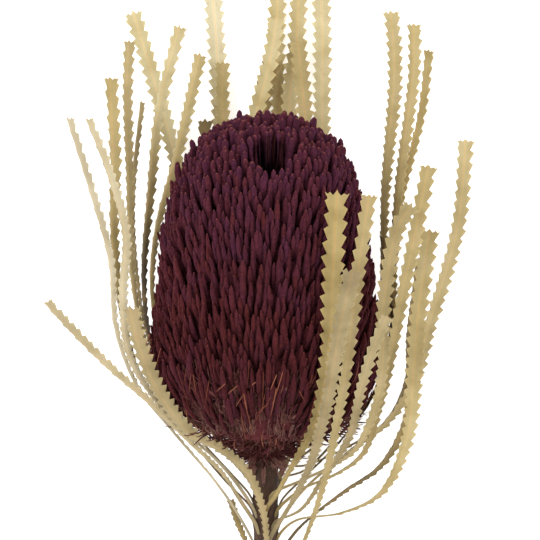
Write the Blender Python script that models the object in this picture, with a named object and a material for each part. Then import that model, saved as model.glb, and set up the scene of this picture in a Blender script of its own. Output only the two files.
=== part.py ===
"""A dried banksia flower stem: one dyed flower head, its woody stem and its long saw-edged leaves.

It lies on a surface as a cut stem does, with the head's tip raised a little by the leaves pressed under it.
Metres, +Z up, +Y along the stem towards the head's tip. The origin is on the surface, under the head's belly.
"""

import math

import bmesh
import bpy
import numpy as np

MM = 0.001

# The head's axis rises from the cut end of the stem towards the tip.
TILT = math.radians(15.0)
HEAD_BASE = np.array([0.0, -40.0, 34.6])
HEAD_LENGTH = 137.0
AXIS = np.array([0.0, math.cos(TILT), math.sin(TILT)])
SIDE = np.array([1.0, 0.0, 0.0])
FRONT = np.cross(SIDE, AXIS)

# The head's outline, from its base to its tip: millimetres along the axis, and radius at the floret tips.
HEAD_OUTLINE = [
    (0.0, 13.0),
    (5.0, 23.0),
    (12.0, 31.5),
    (24.0, 39.0),
    (36.0, 44.0),
    (46.0, 45.5),
    (60.0, 43.0),
    (80.0, 40.8),
    (103.0, 37.6),
    (118.0, 32.0),
    (128.0, 25.0),
    (134.0, 16.0),
    (137.0, 0.0),
]
CORE_LENGTH_SHARE = 0.945
CORE_RADIUS_SHARE = 0.835
CORE_SIDES = 20
CORE_RINGS = 12

FLORETS = 320
FLORET_STEP = 15.0
FLORET_ROOT_DEPTH = 3.5
FLORET_SHOULDER = 5.0
FLORET_HALF_WIDTH = 3.3
FLORET_HALF_DEPTH = 2.3
FLORET_ROOT_SHARE = 0.5
GOLDEN_ANGLE = math.pi * (3.0 - math.sqrt(5.0))

# The parted florets near the tip: how far along the axis, the angle round it, and the parting's half sizes.
PARTING_ALONG = 125.0
PARTING_ANGLE = math.radians(88.0)
PARTING_HALF_WIDTH = 8.0
PARTING_HALF_HEIGHT = 7.0
PARTING_FLOOR_SHARE = 0.6
PARTING_DEPTH = 14.0

STYLES = 16
STYLE_RADIUS = 0.55
STYLE_LENGTH = 21.0
STYLE_ROOT_DEPTH = 4.0
STYLE_SECTORS = [(90.0, 114.0)]

STEM_END_Y = -150.0
STEM_RADIUS_END = 5.0
STEM_RADIUS_TOP = 4.3
STEM_SIDES = 12
STEM_RINGS = 7
JOINT_GAP = 0.4

BLADE_THICKNESS = 0.7
PETIOLE_HALF_WIDTH = 1.1
PETIOLE_SHARE = 0.16
TOOTH_PITCH = 10.5
NOTCH_PLACE = 0.3
NOTCH_WIDTH = 0.56

HEAD_COLOUR = (0.10, 0.018, 0.032, 1.0)
LEAF_COLOUR = (0.60, 0.50, 0.27, 1.0)
STEM_COLOUR = (0.12, 0.065, 0.035, 1.0)

# Each leaf: name, root along the stem, root angle round it, widest half width, the blade's turn at
# root, middle and tip (0 faces up, 90 stands on edge), and its route from near the root to the tip.
LEAVES = [
    ("leaf_left_1", -78, 150, 3.4, (60, 40, 35),
     [(-16, -56, 36), (-36, -32, 42), (-50, -14, 48), (-58, 8, 52), (-60, 34, 56), (-67, 60, 60), (-77, 92, 64)]),
    ("leaf_left_2", -66, 140, 3.2, (50, 10, 70),
     [(-16, -46, 38), (-29, -34, 47), (-42, -20, 53), (-52, -3, 59), (-55, 20, 62), (-54, 44, 64),
      (-60, 67, 66), (-70, 92, 68)]),
    ("leaf_left_3", -66, 168, 3.8, (78, 60, 15),
     [(-15, -52, 32), (-27, -38, 36), (-40, -24, 40), (-50, -8, 43), (-56, 14, 46), (-60, 44, 49),
      (-60, 74, 52), (-62, 108, 56)]),
    ("leaf_left_4", -62, 183, 2.8, (94, 50, 20),
     [(-14, -48, 29.5), (-25, -36, 31), (-38, -20, 33), (-47, 2, 36), (-52, 30, 39), (-54, 68, 43),
      (-55, 100, 46), (-54, 123, 48)]),
    ("leaf_left_5", -58, 197, 2.6, (110, 85, 80),
     [(-12, -45, 26), (-24, -33, 25), (-36, -17, 26), (-46, 4, 28), (-51, 34, 30), (-52, 60, 32), (-48, 99, 34)]),
    ("leaf_left_6", -54, 213, 3.2, (124, 95, 20),
     [(-17, -39, 20), (-28, -27, 17.5), (-39, -12, 18), (-46, 6, 20), (-48, 28, 22), (-46, 60, 25),
      (-43, 92, 28), (-34, 129, 32)]),
    ("leaf_left_7", -50, 230, 3.2, (138, 100, 15),
     [(-15, -38, 17), (-28, -22, 10), (-37, -7, 10), (-43, 8, 12), (-45, 26, 14), (-43, 48, 17),
      (-36, 75, 20), (-26, 118, 26)]),
    ("leaf_left_8", -59, 233, 4.2, (154, 176, 185),
     [(-16, -40, 14), (-26, -22, 7), (-29, 0, 3), (-31, 30, 3), (-33, 62, 6), (-38, 88, 9), (-50, 135, 14)]),
    ("leaf_left_9", -72, 128, 3.2, (38, 20, 40),
     [(-9, -60, 34.5), (-17, -48, 42), (-28, -37, 51), (-44, -21, 58), (-60, -7, 61), (-75, 8, 63), (-86, 20, 65)]),
    ("leaf_left_10", -92, 165, 2.2, (75, 60, 40),
     [(-8, -76, 24), (-11, -68, 25), (-14, -59, 27)]),
    ("leaf_front_left", -100, 112, 4.2, (5, 5, 10),
     [(-4, -80, 31), (-6, -63, 38), (-12, -47, 47), (-28, -33, 58), (-40, -18, 64), (-48, 0, 68), (-52, 16, 71)]),
    ("leaf_under_1", -54, 250, 3.4, (162, 180, 180),
     [(-11, -37, 13), (-18, -18, 4), (-22, 4, 1.4), (-23, 40, 4), (-24, 92, 8)]),
    ("leaf_under_2", -60, 262, 4.4, (172, 180, 180),
     [(-8, -40, 10), (-14, -16, 1), (-16, 6, 0), (-17, 50, 0), (-18, 92, 1), (-20, 128, 3), (-22, 150, 4)]),
    ("leaf_under_3", -56, 268, 3.0, (178, 180, 180),
     [(-4, -36, 11), (-7.5, -14, 1), (-8.4, 8, 0), (-12, 50, 3), (-17, 92, 6), (-17, 115, 8)]),
    ("leaf_under_4", -68, 273, 4.0, (183, 180, 180),
     [(0, -44, 10), (0.3, -16, 0), (0.3, 8, 0), (0, 50, 0), (-2, 92, 3), (3, 116, 6)]),
    ("leaf_under_5", -58, 280, 3.8, (190, 180, 180),
     [(6, -38, 11), (8.3, -14, 1), (8.7, 8, 0), (8, 50, 0), (5, 92, 0), (4, 126, 0), (6, 154, 1)]),
    ("leaf_under_6", -49, 270, 3.6, (168, 180, 180),
     [(-4, -42, 19.5), (-9, -33, 12), (-17, -14, 5), (-20, 6, 3.6), (-15, 44, 7), (-6, 84, 11), (1, 110, 12), (5, 134, 13)]),
    ("leaf_under_7", -64, 290, 3.8, (200, 180, 180),
     [(9, -42, 10), (15, -16, 1), (17, 6, 0), (14, 50, 1), (9, 94, 3), (12, 122, 5), (13, 152, 6)]),
    ("leaf_under_8", -48, 296, 3.6, (206, 180, 180),
     [(11, -32, 12), (18, -14, 5), (21, 6, 3.8), (18, 50, 6), (15, 92, 8), (12, 124, 10)]),
    ("leaf_under_9", -54, 304, 4.0, (214, 180, 180),
     [(13, -38, 12), (22, -16, 3), (25, 6, 0.5), (23, 50, 1), (22, 92, 2), (22, 122, 3), (21, 152, 5)]),
    ("leaf_right_1", -46, 332, 3.2, (60, 60, 10),
     [(16, -38, 22), (28, -26, 20), (40, -10, 20), (45, 8, 22), (47, 34, 24), (48, 60, 27), (52, 108, 33),
      (50, 136, 36)]),
    ("leaf_right_2", -56, 345, 3.0, (80, 40, 10),
     [(15, -47, 26.5), (28, -34, 27), (42, -16, 28), (49, 4, 30), (51, 34, 33), (54, 62, 37), (59, 108, 43),
      (59, 130, 44)]),
    ("leaf_right_3", -50, 316, 2.6, (70, 80, 20),
     [(15, -41, 18), (28, -28, 14), (41, -10, 13), (48, 10, 14), (51, 36, 17), (54, 58, 20), (62, 92, 28),
      (65, 120, 32)]),
    ("leaf_right_4", -63, 13, 2.2, (100, 90, 60),
     [(14, -50, 34), (28, -36, 36), (41, -18, 38), (48, 2, 40), (47, 24, 44), (44, 45, 48)]),
    ("leaf_right_5", -71, 24, 3.4, (112, 150, 180),
     [(14, -55, 33), (31, -40, 38), (46, -28, 42), (57, -12, 46), (64, 8, 50), (72, 30, 54), (77, 50, 58),
      (80, 84, 62)]),
    ("leaf_right_6", -76, 36, 3.6, (124, 160, 180),
     [(12, -66, 35), (29, -63, 39), (44, -55, 44), (54, -34, 51), (57, -8, 56), (60, 16, 60), (65, 46, 64)]),
    ("leaf_right_7", -66, 43, 3.4, (136, 160, 175),
     [(14, -54, 37), (25, -49, 41), (37, -40, 47), (43, -22, 55), (48, -2, 61), (53, 22, 67), (58, 44, 71),
      (64, 73, 74)]),
    ("leaf_right_8", -51, 0, 2.4, (88, 110, 120),
     [(15, -45, 30), (31, -38, 32), (46, -28, 34), (54, -12, 37), (55, 6, 41), (59, 35, 46)]),
    ("leaf_right_9", -60, 70, 3.4, (150, 165, 175),
     [(15, -50, 42), (26, -44, 49), (34, -38, 55), (39, -29, 61), (43, -16, 67), (45, 0, 72), (45, 12, 74),
      (47, 27, 75), (51, 46, 76), (58, 58, 77)]),
    ("leaf_front_1", -66, 91, 5.2, (174, 178, 178),
     [(4, -56, 44), (9, -46, 56), (14, -37, 67), (19, -26, 77), (22, -13, 86), (24, 2, 90), (25, 24, 92),
      (26, 44, 93), (27, 62, 91)]),
    ("leaf_front_2", -98, 58, 4.0, (150, 165, 178),
     [(12, -80, 35), (16, -70, 43), (20, -58, 52), (24, -42, 63), (27, -26, 74), (30, -12, 82), (33, 6, 85),
      (36, 26, 87), (41, 61, 86)]),
    ("leaf_front_3", -78, 80, 4.6, (162, 172, 178),
     [(8, -62, 44), (14, -50, 57), (19, -40, 69), (22, -30, 79), (25, -17, 90), (28, -2, 96), (31, 12, 98),
      (36, 30, 98)]),
    ("leaf_front_4", -71, 58, 3.0, (140, 165, 175),
     [(13, -62, 42), (22, -49, 51), (32, -32, 64), (36, -14, 76), (41, 2, 81), (46, 13, 83)]),
    ("leaf_right_10", -84, 36, 3.0, (124, 140, 150),
     [(14, -68, 29), (30, -55, 31), (44, -45, 33), (53, -30, 35), (57, -12, 37), (60, 3, 38)]),
]


def clear_scene():
    """Removes what the scene holds at the start."""
    for obj in list(bpy.data.objects):
        bpy.data.objects.remove(obj)


def material(name, colour, roughness):
    """A plain Principled material."""
    made = bpy.data.materials.new(name)
    made.use_nodes = True
    shader = made.node_tree.nodes["Principled BSDF"]
    shader.inputs["Base Color"].default_value = colour
    shader.inputs["Roughness"].default_value = roughness
    shader.inputs["Metallic"].default_value = 0.0
    return made


def mesh_object(name, points, faces, finish):
    """One object from points in millimetres and faces."""
    mesh = bpy.data.meshes.new(name)
    mesh.from_pydata([tuple(p * MM) for p in np.asarray(points)], [], faces)
    mesh.materials.append(finish)
    mesh.update()
    obj = bpy.data.objects.new(name, mesh)
    bpy.context.scene.collection.objects.link(obj)
    return obj


def about_axis(along, radius, angle):
    """A point by its distance along the head's axis, its distance from it and the angle round it."""
    return HEAD_BASE + along * AXIS + radius * (math.cos(angle) * SIDE + math.sin(angle) * FRONT)


def smooth_route(points, count):
    """Points evenly spaced along a centripetal Catmull-Rom curve through the given ones."""
    p = np.array(points, float)
    p = np.vstack([2 * p[0] - p[1], p, 2 * p[-1] - p[-2]])
    fine = []
    for a, b, c, d in zip(p[:-3], p[1:-2], p[2:-1], p[3:]):
        knots = np.cumsum([0.0] + [max(np.linalg.norm(e), 1e-6) ** 0.5 for e in (b - a, c - b, d - c)])
        t = np.linspace(knots[1], knots[2], 24, endpoint=False)[:, None]
        a1 = (knots[1] - t) / (knots[1] - knots[0]) * a + (t - knots[0]) / (knots[1] - knots[0]) * b
        a2 = (knots[2] - t) / (knots[2] - knots[1]) * b + (t - knots[1]) / (knots[2] - knots[1]) * c
        a3 = (knots[3] - t) / (knots[3] - knots[2]) * c + (t - knots[2]) / (knots[3] - knots[2]) * d
        b1 = (knots[2] - t) / (knots[2] - knots[0]) * a1 + (t - knots[0]) / (knots[2] - knots[0]) * a2
        b2 = (knots[3] - t) / (knots[3] - knots[1]) * a2 + (t - knots[1]) / (knots[3] - knots[1]) * a3
        fine.append((knots[2] - t) / (knots[2] - knots[1]) * b1 + (t - knots[1]) / (knots[2] - knots[1]) * b2)
    fine = np.vstack(fine + [p[-2:-1]])
    lengths = np.concatenate([[0.0], np.cumsum(np.linalg.norm(np.diff(fine, axis=0), axis=1))])
    places = np.asarray(count) * lengths[-1]
    return np.stack([np.interp(places, lengths, fine[:, k]) for k in range(3)], axis=1), lengths[-1]


def unit(v):
    """Vectors scaled to length one."""
    return v / np.linalg.norm(v, axis=-1, keepdims=True)


def outline_radius(along):
    """The head's radius at the floret tips, by a smooth curve through its outline."""
    u, r = np.array(HEAD_OUTLINE).T
    slopes = np.gradient(r, u)
    slopes[-1] = (r[-1] - r[-2]) / (u[-1] - u[-2])
    k = int(np.clip(np.searchsorted(u, along) - 1, 0, len(u) - 2))
    h = u[k + 1] - u[k]
    t = (along - u[k]) / h
    return float(
        (1 + 2 * t) * (1 - t) ** 2 * r[k]
        + t * (1 - t) ** 2 * h * slopes[k]
        + t * t * (3 - 2 * t) * r[k + 1]
        + t * t * (t - 1) * h * slopes[k + 1]
    )


def floret_places():
    """Tips spread evenly over the outline, turned by the golden angle from one to the next."""
    u = np.linspace(6.0, HEAD_LENGTH, 400)
    r = np.array([outline_radius(x) for x in u])
    area = np.concatenate([[0.0], np.cumsum((r[1:] + r[:-1]) / 2 * np.hypot(np.diff(u), np.diff(r)))])
    shares = (np.arange(FLORETS) + 0.5) / FLORETS
    return [
        (float(x), k * GOLDEN_ANGLE)
        for k, x in enumerate(np.interp(shares * area[-1], area, u))
    ]


def in_parting(along, angle):
    """Whether a floret would stand in the parting near the tip."""
    across = (math.remainder(angle - PARTING_ANGLE, 2 * math.pi)) * outline_radius(along)
    up = along - PARTING_ALONG
    return (across / PARTING_HALF_WIDTH) ** 2 + (up / PARTING_HALF_HEIGHT) ** 2 < 1


def floret(along, angle):
    """A four-sided bud: a pointed tip, a shoulder and a narrow root inside the core, lower than the tip."""
    tip = about_axis(along, outline_radius(along), angle)
    low = max(along - FLORET_STEP, 5.0)
    depth = CORE_RADIUS_SHARE * outline_radius(low) - FLORET_ROOT_DEPTH
    root = about_axis(low * CORE_LENGTH_SHARE, min(depth, 0.8 * outline_radius(along)), angle)
    radial = math.cos(angle) * SIDE + math.sin(angle) * FRONT
    sideways = np.cross(AXIS, radial)
    length = float(np.linalg.norm(tip - root))
    out = (tip - root) / length
    flat = np.cross(out, sideways)
    points = [tip]
    for back, share in ((FLORET_SHOULDER, 1.0), (length, FLORET_ROOT_SHARE)):
        for corner in range(4):
            turn = math.radians(90 * corner)
            points.append(
                tip
                - back * out
                + share * FLORET_HALF_WIDTH * math.cos(turn) * sideways
                + share * FLORET_HALF_DEPTH * math.sin(turn) * flat
            )
    faces = [(0, 1 + (k + 1) % 4, 1 + k) for k in range(4)]
    faces += [(1 + k, 1 + (k + 1) % 4, 5 + (k + 1) % 4, 5 + k) for k in range(4)]
    faces.append((5, 6, 7, 8))
    return points, faces


def style(along, angle, lean, length):
    """A three-sided wiry style, rooted in the core."""
    radial = math.cos(angle) * SIDE + math.sin(angle) * FRONT
    sideways = np.cross(AXIS, radial)
    out = math.cos(lean) * AXIS + math.sin(lean) * radial
    flat = np.cross(out, sideways)
    root = about_axis(along * CORE_LENGTH_SHARE, CORE_RADIUS_SHARE * outline_radius(along) - STYLE_ROOT_DEPTH, angle)
    points = []
    for reach, share in ((0.0, 1.0), (length, 0.8)):
        for corner in range(3):
            turn = math.radians(120 * corner)
            offset = math.cos(turn) * sideways + math.sin(turn) * flat
            points.append(root + reach * out + share * STYLE_RADIUS * offset)
    faces = [(k, (k + 1) % 3, 3 + (k + 1) % 3, 3 + k) for k in range(3)]
    return points, [*faces, (2, 1, 0), (3, 4, 5)]


def style_places():
    """Styles hang backwards out of the skirt, within the sectors where no leaf passes close."""
    places = []
    for k in range(STYLES):
        low, high = STYLE_SECTORS[k % len(STYLE_SECTORS)]
        angle = low + (high - low) * ((0.618034 * k) % 1.0)
        along = 9.0 + 19.0 * ((0.754878 * k) % 1.0)
        lean = 118.0 - 1.3 * (along - 9.0) + 14.0 * ((0.569840 * k) % 1.0)
        places.append((along, math.radians(angle), math.radians(lean), STYLE_LENGTH * (0.8 + 0.3 * (k % 3) / 2)))
    return places


def core_mesh(finish):
    """The head's body under the florets: the outline drawn in, turned about the axis and closed at both ends."""
    points = []
    for share in 1.0 - (1.0 - np.linspace(0.0, 0.97, CORE_RINGS)) ** 1.15:
        along = float(share) * HEAD_LENGTH
        radius = CORE_RADIUS_SHARE * outline_radius(along)
        for k in range(CORE_SIDES):
            points.append(about_axis(along * CORE_LENGTH_SHARE, radius, 2 * math.pi * k / CORE_SIDES))
    faces = [tuple(range(CORE_SIDES))[::-1]]
    for ring in range(CORE_RINGS - 1):
        low, high = ring * CORE_SIDES, (ring + 1) * CORE_SIDES
        for k in range(CORE_SIDES):
            j = (k + 1) % CORE_SIDES
            faces.append((low + k, low + j, high + j, high + k))
    faces.append(tuple((CORE_RINGS - 1) * CORE_SIDES + k for k in range(CORE_SIDES)))
    return mesh_object("flower_head", points, faces, finish)


def outward(obj):
    """Turns every face outwards."""
    work = bmesh.new()
    work.from_mesh(obj.data)
    bmesh.ops.recalc_face_normals(work, faces=work.faces)
    work.to_mesh(obj.data)
    work.free()


def parting_cutter(finish):
    """The shape taken out of the head where its florets part: an upright well that narrows downwards."""
    middle = about_axis(PARTING_ALONG, outline_radius(PARTING_ALONG), PARTING_ANGLE)
    points = []
    for height, share in ((8.0, 1.15), (-PARTING_DEPTH, PARTING_FLOOR_SHARE)):
        for k in range(10):
            turn = 2 * math.pi * k / 10
            spread = np.array([PARTING_HALF_WIDTH * math.cos(turn), PARTING_HALF_HEIGHT * math.sin(turn), 0.0])
            points.append(middle + share * spread + np.array([0.0, 0.0, height]))
    faces = [tuple(range(10))[::-1], tuple(range(10, 20))]
    faces += [(k, (k + 1) % 10, 10 + (k + 1) % 10, 10 + k) for k in range(10)]
    cutter = mesh_object("cutter", points, faces, finish)
    cutter.hide_render = True
    cutter.display_type = "WIRE"
    outward(cutter)
    return cutter


def apply_modifiers(obj):
    """Makes the modifiers' result the object's own mesh."""
    bpy.context.view_layer.update()
    graph = bpy.context.evaluated_depsgraph_get()
    made = bpy.data.meshes.new_from_object(obj.evaluated_get(graph))
    obj.modifiers.clear()
    obj.data = made


def take_out(body, cutter):
    """Cuts one shape out of another and removes the cutter."""
    cut = body.modifiers.new("cut", "BOOLEAN")
    cut.operation = "DIFFERENCE"
    cut.solver = "MANIFOLD"
    cut.object = cutter
    apply_modifiers(body)
    bpy.data.objects.remove(cutter)


def join_to(body, shapes, finish):
    """Fuses closed shapes to the body they grow from, each to all the others, in one union."""
    group = bpy.data.collections.new("repeats")
    bpy.context.scene.collection.children.link(group)
    for points, faces in shapes:
        repeat = mesh_object("repeat", points, faces, finish)
        outward(repeat)
        group.objects.link(repeat)
    union = body.modifiers.new("union", "BOOLEAN")
    union.operation = "UNION"
    union.solver = "MANIFOLD"
    union.operand_type = "COLLECTION"
    union.collection = group
    apply_modifiers(body)
    for repeat in list(group.objects):
        bpy.data.objects.remove(repeat)
    bpy.data.collections.remove(group)


def build_head(finish):
    """The flower head: its core, the florets that cover it and the wiry styles of its skirt."""
    head = core_mesh(finish)
    outward(head)
    take_out(head, parting_cutter(finish))
    shapes = [floret(along, angle) for along, angle in floret_places() if not in_parting(along, angle)]
    shapes += [style(*place) for place in style_places()]
    join_to(head, shapes, finish)
    return head


def stem_centre(y):
    """The stem's middle, on the line of the head's axis."""
    return HEAD_BASE + (y - HEAD_BASE[1]) / AXIS[1] * AXIS


def stem_radius(y):
    """The stem thins towards the head."""
    return float(np.interp(y, [STEM_END_Y, HEAD_BASE[1]], [STEM_RADIUS_END, STEM_RADIUS_TOP]))


def build_stem(finish):
    """The woody stem, from its square cut to just under the head."""
    top = HEAD_BASE[1] - JOINT_GAP
    points = []
    for y in np.linspace(STEM_END_Y, top, STEM_RINGS):
        for k in range(STEM_SIDES):
            angle = 2 * math.pi * k / STEM_SIDES
            points.append(stem_centre(y) + stem_radius(y) * (math.cos(angle) * SIDE + math.sin(angle) * FRONT))
    faces = [tuple(range(STEM_SIDES))[::-1]]
    for ring in range(STEM_RINGS - 1):
        low, high = ring * STEM_SIDES, (ring + 1) * STEM_SIDES
        for k in range(STEM_SIDES):
            j = (k + 1) % STEM_SIDES
            faces.append((low + k, low + j, high + j, high + k))
    faces.append(tuple((STEM_RINGS - 1) * STEM_SIDES + k for k in range(STEM_SIDES)))
    stem = mesh_object("stem", points, faces, finish)
    outward(stem)
    return stem


def leaf_root(y, angle):
    """Two points that start a leaf: on the stem's bark, and a little further along it and out."""
    turn = math.radians(angle)
    radial = math.cos(turn) * SIDE + math.sin(turn) * FRONT
    reach = stem_radius(y) + JOINT_GAP + BLADE_THICKNESS / 2
    start = stem_centre(y) + reach * radial
    return [start, start + 5.0 * AXIS + 1.6 * radial]


def half_widths(shares, widest):
    """A leaf's half width along it: a narrow stalk, then widening to near its cut-off tip."""
    rise = np.clip((shares - PETIOLE_SHARE) / (0.8 - PETIOLE_SHARE), 0, 1)
    return PETIOLE_HALF_WIDTH + (widest - PETIOLE_HALF_WIDTH) * rise ** 0.75


def toothed_stations(length):
    """Where a leaf's sections lie, as shares of its length, and which of them are notches."""
    teeth = max(3, round(length * (1 - PETIOLE_SHARE) / TOOTH_PITCH))
    shares, notch = [0.0, PETIOLE_SHARE * 0.3, PETIOLE_SHARE * 0.65], [False, False, False]
    step = (1 - PETIOLE_SHARE) / teeth
    for k in range(teeth):
        shares += [PETIOLE_SHARE + k * step, PETIOLE_SHARE + (k + NOTCH_PLACE) * step]
        notch += [False, True]
    return np.array([*shares, 1.0]), np.array([*notch, False])


def build_leaf(name, root_y, root_angle, widest, turns, route, finish):
    """One leaf: a flat blade along its route, with forward-pointing teeth down both edges and a cut-off tip."""
    path = leaf_root(root_y, root_angle) + [np.array(p, float) for p in route]
    _, length = smooth_route(path, [0.0])
    shares, notch = toothed_stations(length)
    centre, _ = smooth_route(path, shares)
    ahead, _ = smooth_route(path, np.clip(shares + 0.01, 0, 1))
    behind, _ = smooth_route(path, np.clip(shares - 0.01, 0, 1))
    tangent = unit(ahead - behind)
    turn = np.radians(np.interp(shares, [0.0, 0.5, 1.0], turns))
    across = np.stack([np.cos(turn), 0 * turn, np.sin(turn)], axis=1)
    across = unit(across - (across * tangent).sum(1, keepdims=True) * tangent)
    normal = np.cross(across, tangent)
    half = half_widths(shares, widest)
    half = np.where(notch, np.maximum(half * NOTCH_WIDTH, PETIOLE_HALF_WIDTH * 0.8), half)[:, None]
    edge = BLADE_THICKNESS / 2 * normal
    corners = np.stack(
        [centre - half * across - edge, centre + half * across - edge,
         centre + half * across + edge, centre - half * across + edge], axis=1
    )
    press_flat(corners)
    points = corners.reshape(-1, 3)
    faces = [(0, 1, 2), (0, 2, 3)]
    for k in range(len(shares) - 1):
        low, high = 4 * k, 4 * k + 4
        faces += [(low, high, high + 1), (low, high + 1, low + 1)]
        faces += [(low + 1, high + 1, high + 2), (low + 1, high + 2, low + 2)]
        faces += [(low + 2, high + 3, low + 3), (low + 2, high + 2, high + 3)]
        faces += [(low + 3, high + 3, high), (low + 3, high, low)]
    last = 4 * (len(shares) - 1)
    faces += [(last, last + 2, last + 1), (last, last + 3, last + 2)]
    leaf = mesh_object(name, points, faces, finish)
    outward(leaf)
    return leaf


def press_flat(corners):
    """Where a blade would reach below the surface, it is pressed flat on it and keeps its thickness."""
    low = corners[:, [0, 1], 2]
    high = corners[:, [3, 2], 2]
    under = np.minimum(low, high) < 0
    below = np.where(low <= high, 0.0, BLADE_THICKNESS)
    above = np.where(low <= high, BLADE_THICKNESS, 0.0)
    corners[:, [0, 1], 2] = np.where(under, below, low)
    corners[:, [3, 2], 2] = np.where(under, above, high)


def main():
    clear_scene()
    burgundy = material("dyed florets", HEAD_COLOUR, 0.9)
    straw = material("bleached leaf", LEAF_COLOUR, 0.7)
    bark = material("bark", STEM_COLOUR, 0.85)
    build_head(burgundy)
    build_stem(bark)
    for leaf in LEAVES:
        build_leaf(*leaf, straw)


main()
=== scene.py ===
"""The looks of a dried, dyed banksia stem: velvety burgundy florets, pale saw-edged leaves and a barky stem.

Sizes are in millimetres and become metres when a mesh is made. +Y runs along the stem towards the tip of
the head, +Z up. Points on the head are given by their distance along its axis, the distance from the axis
and the angle round it, where 0 degrees is +X and 90 degrees faces the camera.
"""

import math

import bpy
import numpy as np
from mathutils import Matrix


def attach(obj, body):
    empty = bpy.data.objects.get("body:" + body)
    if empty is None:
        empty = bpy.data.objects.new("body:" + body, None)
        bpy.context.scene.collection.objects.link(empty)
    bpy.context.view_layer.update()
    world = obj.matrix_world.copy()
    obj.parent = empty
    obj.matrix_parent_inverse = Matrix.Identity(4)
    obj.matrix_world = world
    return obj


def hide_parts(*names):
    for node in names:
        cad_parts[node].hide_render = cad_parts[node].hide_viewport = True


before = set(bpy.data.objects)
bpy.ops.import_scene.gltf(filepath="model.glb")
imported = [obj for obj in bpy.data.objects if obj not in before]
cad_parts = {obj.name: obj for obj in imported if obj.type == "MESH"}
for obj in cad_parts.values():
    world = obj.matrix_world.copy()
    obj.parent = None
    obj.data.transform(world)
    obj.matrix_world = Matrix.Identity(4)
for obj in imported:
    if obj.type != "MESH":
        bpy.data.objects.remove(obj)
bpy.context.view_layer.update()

MM = 0.001
FLOOR_GAP = 0.05

# The head's place and outline, the same as in the solids.
TILT = math.radians(15.0)
HEAD_BASE = np.array([0.0, -40.0, 34.6])
HEAD_LENGTH = 137.0
AXIS = np.array([0.0, math.cos(TILT), math.sin(TILT)])
SIDE = np.array([1.0, 0.0, 0.0])
FRONT = np.cross(SIDE, AXIS)
OUTLINE_ALONG = [0.0, 5.0, 12.0, 24.0, 36.0, 46.0, 60.0, 80.0, 103.0, 118.0, 128.0, 134.0, 137.0]
OUTLINE_RADIUS = [13.0, 23.0, 31.5, 39.0, 44.0, 45.5, 43.0, 40.8, 37.6, 32.0, 25.0, 16.0, 0.0]

# Places for florets on the whole head. Those near the base and in the parting are left bare.
FLORETS = 2900
FLORET_SIDES = 6
GOLDEN_ANGLE = math.pi * (3.0 - math.sqrt(5.0))

# The parting near the tip, seen from above: its middle, half sizes and depth, and the least height at which
# anything belongs to it, which leaves out the head's underside.
PARTING_MIDDLE = np.array([1.4, 76.0])
PARTING_HALF = np.array([8.1, 6.5])
PARTING_DEPTH = 15.0
PARTING_LOWEST = 60.0

# How many of each grow on the head, and how many hairs on a tuft of felt.
STALKS = 20
STYLES = 200
STRANDS = 460
TUFTS_ON_HEAD = 900
TUFTS_ON_STEM = 60
TUFT_HAIRS = 8

STEM_END_Y = -150.0
STEM_RADIUS_END = 5.0
STEM_RADIUS_TOP = 4.3

# A leaf's thickness, its stalk's half width and share of the length, a notch's share of the half width, the
# place of a tooth's point between two notches, the teeth's growth from stalk to tip, and the fold's slope.
BLADE_THICKNESS = 0.55
PETIOLE_HALF_WIDTH = 0.85
PETIOLE_SHARE = 0.16
NOTCH_WIDTH = 0.54
TOOTH_PEAK = 0.68
TOOTH_GROWTH = 0.5
FOLD = 0.28

# The share of its length at which a blade has its full width, and the leaves where it is another.
FULL_WIDTH_SHARE = 0.8
FULL_WIDTH_BY = {"leaf_right_5": 0.52, "leaf_front_3": 1.0, "leaf_right_6": 0.66}

# The camera's frame: its width at the middle height of the leaves, and where the camera stands. Its reach is
# in metres.
FRAME_WIDTH = 206.8
CAMERA_X = 1.5
CAMERA_Y = 30.6
CAMERA_HEIGHT = 2600.0
CAMERA_FOCUS_HEIGHT = 60.0
SENSOR_WIDTH = 36.0
CAMERA_REACH = 20.0

# Each lamp's place in metres, its width and its power.
LAMPS = {
    "key": ((-1.0, 0.6, 1.7), 1.4, 22.0),
    "fill": ((1.3, -0.2, 1.6), 1.8, 14.0),
}
LAMP_AIM = np.array([0.0, 0.0, 0.04])

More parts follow.
